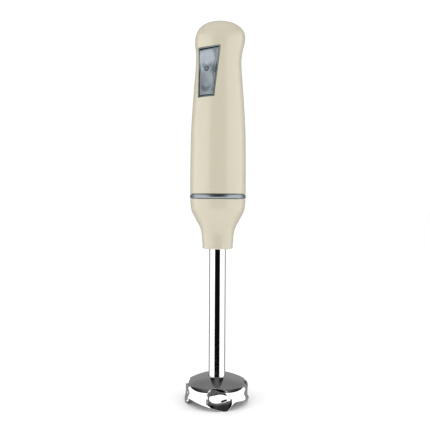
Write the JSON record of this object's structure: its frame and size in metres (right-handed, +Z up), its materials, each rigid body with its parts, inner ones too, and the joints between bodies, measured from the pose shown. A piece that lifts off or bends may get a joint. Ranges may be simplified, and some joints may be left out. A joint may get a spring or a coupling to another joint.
{
  "type": "immersion blender",
  "caption": "Hand-held immersion blender: waisted motor handle with a recessed rocker button, metal band, twist-off foot with a chromed tube and a scalloped bell guard over a blade",
  "frame": {"origin": "on the long axis, in the plane of the four guard tips that the object stands on", "axes": "+Z up along the shaft, -Y towards the button, +Y towards the cord inlet"},
  "size_m": [0.0648, 0.0648, 0.376],
  "materials": {
    "cream_plastic": "satin gloss moulded cream",
    "satin_metal": "satin ring, finely turned",
    "polished_chrome": "mirror polished",
    "smoke_plastic": "tinted, softly glossy",
    "mark_lens": "milky insert",
    "dark_plastic": "fine moulded grain",
    "rubber": "matt",
    "nylon": "matt moulded",
    "steel": "turned",
    "blade_steel": "ground edges",
    "copper": "lacquered winding",
    "brass": "machined",
    "carbon": "pressed carbon",
    "board_green": "solder mask"
  },
  "bodies": {
    "handle": {"handle_casing": "cream_plastic", "band_ring": "satin_metal", "bayonet_socket": "dark_plastic", "button_bezel": "smoke_plastic", "button_pin": "steel", "switch_body_lower": "dark_plastic", "switch_body_upper": "dark_plastic", "board_carrier": "dark_plastic", "control_board": "board_green", "cord_gland": "rubber", "cord_clamp": "nylon", "clamp_screw_left": "steel", "clamp_screw_right": "steel", "stator_core": "steel", "field_coil_left": "copper", "field_coil_right": "copper", "motor_bracket_lower": "dark_plastic", "motor_bracket_upper": "dark_plastic", "bearing_lower": "steel", "bearing_upper": "steel", "rubber_mount_lower": "rubber", "rubber_mount_upper": "rubber", "brush_holder_left": "brass", "brush_holder_right": "brass", "brush_left": "carbon", "brush_right": "carbon", "brush_spring_left": "steel", "brush_spring_right": "steel"},
    "button": {"button_rocker": "smoke_plastic", "button_mark_lens": "mark_lens"},
    "plunger_lower": {"switch_plunger_lower": "dark_plastic"},
    "plunger_upper": {"switch_plunger_upper": "dark_plastic"},
    "rotor": {"armature_core": "steel", "armature_winding": "copper", "commutator": "brass", "armature_shaft": "steel", "cooling_fan": "nylon", "motor_coupler": "nylon"},
    "foot": {"foot_collar": "cream_plastic", "bayonet_spigot": "dark_plastic", "shaft_tube": "polished_chrome", "tube_snap_ring": "steel", "bell_guard": "polished_chrome", "upper_bush": "brass", "lower_bush": "brass", "shaft_seal": "rubber"},
    "drive": {"drive_shaft": "steel", "drive_coupler": "nylon", "blade": "blade_steel", "blade_spacer": "steel", "blade_nut": "steel"}
  },
  "joints": [
    {"name": "button_rock", "type": "hinge", "parent": "handle", "child": "button", "pos_m": [0, -0.0148, 0.325], "axis": [1, 0, 0], "range_deg": [-3.5, 3.5], "stiffness_Nm_per_rad": 0.5},
    {"name": "plunger_lower_press", "type": "slide", "parent": "handle", "child": "plunger_lower", "axis": [0, 1, 0], "range_m": [-0.0008, 0.0008]},
    {"name": "plunger_upper_press", "type": "slide", "parent": "handle", "child": "plunger_upper", "axis": [0, 1, 0], "range_m": [-0.0008, 0.0008]},
    {"name": "rotor_spin", "type": "hinge", "parent": "handle", "child": "rotor", "pos_m": [0, 0, 0.25], "axis": [0, 0, 1], "continuous": true},
    {"name": "foot_twist", "type": "hinge", "parent": "handle", "child": "foot", "pos_m": [0, 0, 0.21], "axis": [0, 0, 1], "range_deg": [0, 30]},
    {"name": "blade_spin", "type": "hinge", "parent": "foot", "child": "drive", "pos_m": [0, 0, 0.1], "axis": [0, 0, 1], "continuous": true}
  ],
  "couplings": [
    {"joint": "plunger_lower_press", "follows": "button_rock", "m_per_rad": 0.012},
    {"joint": "plunger_upper_press", "follows": "button_rock", "m_per_rad": -0.012},
    {"joint": "blade_spin", "follows": "rotor_spin", "ratio": 1}
  ]
}
